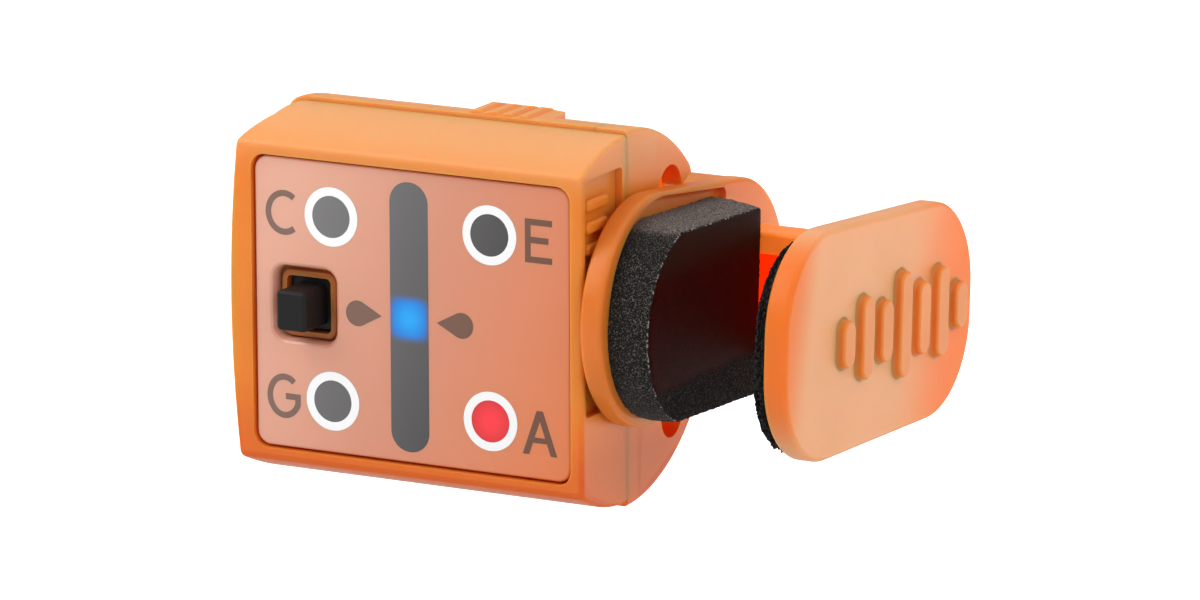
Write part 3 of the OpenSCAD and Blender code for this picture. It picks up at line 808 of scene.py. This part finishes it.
def fixed_jaw():
    body = rounded_solid("jaw", across, lambda i: tapered((-11.9, 0.15), 7.9 - i, (0, 0.05), NECK_R - i),
                         JAW_X, JAW_END, 0.35)
    seat = keep(prism("seat", across, tapered((-11.1, 0.25), 7.5, (0, 0.1), 6.8), JAW_END - 0.7, 16),
                box("trim", (0, -30, -10), (20, -1.9, 10)))
    cut(body, soften(seat, 0.45, 4))
    join(body, prism("neck", across, circle((0, 0), NECK_R), NECK_X - 0.1, JAW_X + 0.5),
         rounded_solid("drum", across, lambda i: circle((0, 0), DRUM_R - i), DRUM_LEFT, NECK_X, 0.25))
    passage = rounded_rect(((ARM[0] + ARM[1]) / 2, 0), (3.6, 2 * ARM[2] + 0.4), 0.3)
    cut(body, prism("passage", across, passage, DRUM_LEFT - 1, 16),
        prism("chamber", across, circle((SPRING_Y, 0), 2.4), DRUM_LEFT - 1, CHAMBER_END),
        box("slot", (DRUM_LEFT - 1, 0, -1.1), (3.6, SPRING_Y, 1.1)))
    for side, screw in zip((-1, 1), CAP_SCREWS):
        x = side * POST_X
        cut(body, prism("post_slot", across, sector(6.5, DRUM_R + 1, 145, 215), x - 1.55, x + 1.55),
            keep(prism("retainer_room", across, sector(4.8, 6.72, 142, 218), x - 2.5, x + 2.5),
                 box("trim", (-20, -9, -9), (20, -3.4, 9))),
            prism("driver_way", back, circle((x, 0), 1.15), -4, 11),
            prism("cap_screw_hole", across, circle(screw, 0.45), DRUM_LEFT - 1, DRUM_LEFT + 4))
    body.name = "fixed_jaw_moulding"
    place(body, CLIP, "clip", CLIP_CASE_SHADED)
    # painted glow on the faces inside the jaw's neck
    paint(body, CASE_PAINTED_GLOW, lambda c, n: c.x < JAW_END - 0.5 and abs(n.x) < 0.5
          and (c.y ** 2 + c.z ** 2) < (NECK_R - 0.3) ** 2, CLIP)
    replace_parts(body, "fixed_jaw")


def sleeve_end_cap():
    body = rounded_solid("sleeve_end_cap_disc", across, lambda i: circle((0, 0), DRUM_R - 0.25 - i),
                         DRUM_LEFT, DRUM_LEFT - 1, 0.3, (False, True))
    for screw in CAP_SCREWS:
        cut(body, prism("hole", across, circle(screw, 0.65), DRUM_LEFT - 2, DRUM_LEFT + 2),
            prism("counterbore", across, circle(screw, 1.25), DRUM_LEFT - 2, DRUM_LEFT - 0.5))
    soften(body, 0.08, 2)
    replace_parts(place(body, CLIP, "clip", CASE), "sleeve_end_cap")


def pad_outline(near, radius, low, high, far, corner=0.35):
    """Round near end, straight top and bottom, square far end with small corners, in even steps."""
    middle = (low + high) / 2
    lean = math.degrees(math.asin(min(1, (high - low) / 2 / radius)))
    points = arc((near, middle), radius, 180 - lean, 180 + lean)
    points += arc((far - corner, low + corner), corner, -90, 0)
    points += arc((far - corner, high - corner), corner, 0, 90)
    return even_steps(points, 0.16)


def even_steps(points, step, count=None):
    """The closed outline again, with its points an even distance apart."""
    ring = [Vector(p) for p in points]
    lengths = [(b - a).length for a, b in zip(ring, ring[1:] + ring[:1])]
    total = sum(lengths)
    count = count or round(total / step)
    out, walked, i = [], 0.0, 0
    for k in range(count):
        target = total * k / count
        while walked + lengths[i] < target:
            walked += lengths[i]
            i += 1
        a, b = ring[i], ring[(i + 1) % len(ring)]
        out.append(tuple(a + (b - a) * ((target - walked) / max(lengths[i], 1e-9))))
    return out


def crowned(name, levels, crown, rings=14):
    """A closed pad through the (place, outline) levels, then a face that rises to its middle."""
    count = len(levels[0][1])
    loops = [across(x, even_steps(outline, 0, count)) for x, outline in levels]
    top_x, top = levels[-1][0], [p[1:] for p in loops[-1]]
    middle = Vector((sum(p[0] for p in top), sum(p[1] for p in top))) / count
    for k in range(1, rings):
        t = k / rings
        loops.append(across(top_x + crown * (1 - (1 - t) ** 3),
                            [tuple(Vector(p).lerp(middle, t)) for p in top]))
    return loft(name, loops)


def roughen(obj, amount, scale, seed, keep_face=None):
    """Moves each point along its normal by fine noise, as cut foam stands, except where keep_face is true."""
    for vert in obj.data.vertices:
        if keep_face and keep_face(vert.co):
            continue
        vert.co += vert.normal * amount * noise.noise(vert.co * scale + Vector((seed, 0, 0)))


def fixed_pad():
    """The thick pad narrows a little towards its face, more so along the top than the bottom."""
    def level(t, inset):
        return pad_outline(-11.85 - 0.1 * t, 6.75 - inset, -6.92 + 0.17 * t + inset, 6.45 - 0.4 * t - inset,
                           -2.45 - inset)
    root, face_x = 14.3, 18.0
    levels = [(root, level(0, 0.0))]
    for k in range(1, 11):
        t = k / 10
        levels.append((root + (face_x - 0.16 - root) * t, level(t, -0.1 * math.sin(math.pi * t))))
    levels += [(face_x - 0.11, level(1, 0.03)), (face_x - 0.08, level(1, 0.09))]
    pad = crowned("fixed_pad_foam", levels, 0.08)
    roughen(pad, 0.07, 5.0, 3, lambda co: co.x > face_x - 0.1)
    place(pad, CLIP, "clip", FOAM, 50)
    paint(pad, FOAM_EDGE, lambda c, n: c.x > face_x - 0.24, CLIP)
    paint(pad, FOAM_SKIN, lambda c, n: n.x > 0.8 and c.x > face_x - 0.09, CLIP)
    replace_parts(pad, "fixed_pad")


def plate_outline(i):
    return around(PLATE_CORNERS, PLATE_R - i)


def sliding_jaw():
    plate = loft("plate", [across(x, plate_outline(i)) for x, i in
                           rounding(MOVING_PLATE_X, MOVING_X, 0.4)])
    low, high, half = ARM
    arm = prism("arm", across, rounded_rect(((low + high) / 2, 0), (high - low, 2 * half), 0.3),
                ARM_LEFT, MOVING_PLATE_X + 0.4)
    deep = high - 1.1 - low + 2
    cut(arm, prism("hollow", across, rounded_rect((low - 2 + deep / 2, 0), (deep, 2 * (half - 1.5)), 0.25),
                   ARM_LEFT + 2, MOVING_PLATE_X))
    cut(arm, prism("screw_hole", across, circle(ARM_SCREW, 0.45), ARM_LEFT - 1, ARM_LEFT + 1.7))
    soften(arm, 0.15)
    join(plate, arm)
    plate.name = "sliding_jaw_moulding"
    place(plate, CLIP, "jaw", JAW)

    def in_hollow(c):
        return abs(c.z) < half - 1.4 and -2.1 < c.y < 0.2
    # painted glow in the arm's hollow
    paint(plate, CASE_RED_PAINTED_GLOW, lambda c, n: ARM_LEFT + 1.9 < c.x < MOVING_PLATE_X - 0.1 and in_hollow(c), CLIP)
    # painted glow on the rest of the arm
    paint(plate, ARM_PAINTED_GLOW, lambda c, n: c.x < MOVING_PLATE_X + 0.1 and abs(c.z) <= half + 0.01
          and low - 0.01 <= c.y <= high and not in_hollow(c), CLIP)
    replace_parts(plate, "sliding_jaw")
    heights = [3.2, 5.6, 4.2, 7.2, 5, 6.2, 3.2]
    bm = bmesh.new()
    for i, height in enumerate(heights):
        middle = (-11.9 + i * 2.85, -0.6)
        loft("bar", [across(x, rounded_rect(middle, (1.7 - 2 * g, height - 2 * g), 0.84 - g))
                     for x, g in [(MOVING_X - 0.1, -0.25), (MOVING_X, -0.2), (MOVING_X + 0.06, -0.08),
                                  (MOVING_X + 0.15, -0.02), (MOVING_X + 0.25, 0.0)]
                     + rounding(MOVING_X + 0.26, MOVING_X + 0.6, 0.2, (False, True))], bm)
    bars = place(new_object("level_bars", bm), CLIP, "jaw", RAISED)


def moving_pad():
    """The thin pad's cut edge is ragged, with tufts of foam all round."""
    def ragged(inset, level):
        out = []
        shape = moved(around(PLATE_CORNERS, PLATE_R - 0.65 - inset), -0.3, -0.2)
        for p in even_steps(shape, 0.09):
            way = (Vector(p) - Vector(PLATE_MID)).normalized()
            tuft = 0.18 * noise.noise(Vector((p[0] * 2.5, p[1] * 2.5, level * 0.9))) \
                + 0.3 * noise.noise(Vector((p[0] * 8, p[1] * 8, level * 3)))
            out.append(tuple(Vector(p) + way * tuft))
        return out
    thick = MOVING_PLATE_X - MOVING_PAD_X
    levels = [(MOVING_PLATE_X - thick * t, ragged(inset, k)) for k, (t, inset) in enumerate(
        ((0.02, 0.0), (0.2, 0.0), (0.36, 0.02), (0.52, 0.04), (0.68, 0.08), (0.82, 0.14), (0.93, 0.28)))]
    pad = crowned("moving_pad_foam", levels, -thick * 0.06, 20)
    cut(pad, box("arm_room", (MOVING_PAD_X - 1, ARM[0] - 0.7, -12), (MOVING_PLATE_X + 1, 20, 12)))
    roughen(pad, 0.06, 5.0, 9)
    place(pad, CLIP, "jaw", FOAM_THIN, 50)
    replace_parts(pad, "moving_pad")


def spring_follower():
    """The plate at the arm's inner end that pushes on the spring."""
    x0, x1 = ARM_LEFT - 1, ARM_LEFT
    body = prism("follower", across, rounded_rect(ARM_SCREW, (3.2, 6), 0.4), x0, x1)
    join(body, box("bridge", (x0, 0, -0.9), (x1, SPRING_Y, 0.9)),
         prism("seat", across, circle((SPRING_Y, 0), 2.15), x0, x1))
    cut(body, prism("hole", across, circle(ARM_SCREW, 0.6), x0 - 1, x1 + 1))
    soften(body, 0.12, 2)
    body.name = "spring_follower_plate"
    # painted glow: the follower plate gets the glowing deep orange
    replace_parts(place(body, CLIP, "jaw", CASE_PAINTED_GLOW), "spring_follower")


def clip_spring():
    """A coil of round wire with closed ends, from the follower to the chamber's end."""
    start, end = ARM_LEFT + WIRE_R + 0.05, CHAMBER_END - WIRE_R - 0.05
    steps, sides = 24, 10
    total = SPRING_TURNS * steps
    loops = []
    for i in range(total + 1):
        turn = i / steps
        a = 2 * math.pi * turn
        out = Vector((0, math.cos(a), math.sin(a)))
        middle = Vector((start + (end - start) * i / total, SPRING_Y, 0)) + out * SPRING_R
        loops.append([tuple(middle + WIRE_R * (math.cos(b) * out + math.sin(b) * Vector((1, 0, 0))))
                      for b in (2 * math.pi * j / sides for j in range(sides))])
    coil = loft("clip_spring_coil", loops)
    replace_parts(place(coil, CLIP, "clip", STEEL, 60), "clip_spring")
    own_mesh(coil)


def paint(obj, material, test, matrix=None):
    """Gives material to the faces whose middle and direction, in millimetres, pass the test."""
    back_to_mm = (matrix or TUNER).inverted()
    turn = back_to_mm.to_3x3().normalized()
    obj.data.materials.append(material)
    index = len(obj.data.materials) - 1
    for poly in obj.data.polygons:
        if test(back_to_mm @ poly.center, turn @ poly.normal):
            poly.material_index = index


def finish_cad_nodes():
    """The small hardware keeps its CAD shape, with its edges eased, and gets its own finish."""
    looks = {"case_screws": STEEL, "light_guide": DIFFUSER, "power_switch": STEEL, "circuit_board": BOARD,
             "string_leds": LED, "meter_leds": LED, "tuner_chip": CHIP, "clock_crystal": STEEL,
             "chip_capacitors": CERAMIC, "coin_cell": NICKEL, "battery_contact_negative": BRASS,
             "battery_contact_positive": BRASS, "piezo_sensor": BRASS, "piezo_leads": LEAD,
             "tilt_retainers": STEEL, "retainer_screws": STEEL, "end_cap_screws": STEEL,
             "follower_screw": STEEL}
    for name, material in looks.items():
        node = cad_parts[name]
        for slot in node.material_slots:
            slot.material = material
        if not node.material_slots:
            node.data.materials.append(material)
        ease = node.modifiers.new("eased_edges", "BEVEL")
        ease.width = 0.04 * MM
        ease.segments = 2
        ease.limit_method = "ANGLE"
        ease.angle_limit = math.radians(40)


front_case()
rear_case()
battery_door()
display_lens()
printed_marks()
power_key()
fixed_jaw()
sleeve_end_cap()
fixed_pad()
sliding_jaw()
moving_pad()
spring_follower()
clip_spring()
finish_cad_nodes()


# ---------------------------------------------------------------- stage, light and camera
FLOOR_Z = -0.07


def make_stage():
    """A pale floor, painted darker in a pool around and in front of the object as a painted shadow, that
    brightens and glows white away from it; and a plain sky that brightens with height.
    """
    bpy.ops.mesh.primitive_plane_add(size=6, location=(0, 0, FLOOR_Z))
    floor = bpy.context.object
    floor.name = "floor"
    n = Nodes("floor_white")
    spot = n.coords.outputs["Object"]
    away = n.add("ShaderNodeVectorMath", {0: spot}, operation="LENGTH").outputs["Value"]
    depth = n.add("ShaderNodeSeparateXYZ", {"Vector": spot}).outputs["Y"]
    # painted shadow: the floor is darker, without glow, near the object and in front of it, and glows white
    # further away
    far = n.math("MULTIPLY", n.span(away, 0.0, 1.0, 0.08, 0.2, smooth=True),
                 n.span(depth, 0.55, 1.0, -0.1, 0.1, smooth=True))
    n.set(Base_Color=n.mix(far, (0.62, 0.62, 0.62), (0.85, 0.85, 0.85)),
          Roughness=n.span(n.noise(3), 0.75, 0.85), Emission_Color=(1, 1, 1, 1),
          Emission_Strength=n.span(far, 0.0, 0.85))
    floor.data.materials.append(n.material)
    world = bpy.data.worlds.new("studio")
    bpy.context.scene.world = world
    world.use_nodes = True
    tree = world.node_tree
    up = tree.nodes.new("ShaderNodeSeparateXYZ")
    tree.links.new(tree.nodes.new("ShaderNodeTexCoord").outputs["Generated"], up.inputs[0])
    grade = tree.nodes.new("ShaderNodeMapRange")
    for name, value in (("From Min", -0.1), ("From Max", 0.9), ("To Min", 0.12), ("To Max", 0.95)):
        grade.inputs[name].default_value = value
    tree.links.new(up.outputs["Z"], grade.inputs["Value"])
    tree.links.new(grade.outputs["Result"], tree.nodes["Background"].inputs["Strength"])
    tree.nodes["Background"].inputs["Color"].default_value = (1, 1, 1, 1)


def soft_light(name, location, target, size, power):
    data = bpy.data.lights.new(name, "AREA")
    data.shape = "RECTANGLE"
    data.size, data.size_y = size
    data.energy = power
    lamp = bpy.data.objects.new(name, data)
    bpy.context.scene.collection.objects.link(lamp)
    lamp.location = location
    lamp.rotation_euler = (Vector(target) - Vector(location)).to_track_quat("-Z", "Y").to_euler()


def make_camera():
    """A long lens at the height and angle of a product shot; distances in the tuner's millimetres."""
    azimuth, elevation, roll = math.radians(27.96), math.radians(13.34), math.radians(-0.17)
    distance, aim_side, aim_up = 543.5, 12.697, 1.254
    forward = Vector((-math.sin(azimuth) * math.cos(elevation), math.cos(azimuth) * math.cos(elevation),
                      -math.sin(elevation)))
    right = Vector((math.cos(azimuth), math.sin(azimuth), 0))
    up = right.cross(forward)
    side = math.cos(roll) * right + math.sin(roll) * up
    top = -math.sin(roll) * right + math.cos(roll) * up
    spot = TUNER @ (aim_side * side + aim_up * top - distance * forward)
    data = bpy.data.cameras.new("camera")
    data.lens = 244.56
    data.sensor_width = 36
    data.clip_start = 0.01
    camera = bpy.data.objects.new("camera", data)
    camera.matrix_world = Matrix.Translation(spot) @ Matrix((side, top, -forward)).transposed().to_4x4()
    bpy.context.scene.collection.objects.link(camera)
    bpy.context.scene.camera = camera


make_stage()
make_camera()
soft_light("key_light", (-0.2, -0.16, 0.22), (-0.01, 0, 0), (0.2, 0.2), 0.46)
soft_light("side_light", (0.5, -0.15, 0.25), (0, 0, 0), (0.3, 0.4), 0.7)
bpy.context.scene.view_settings.view_transform = "Standard"
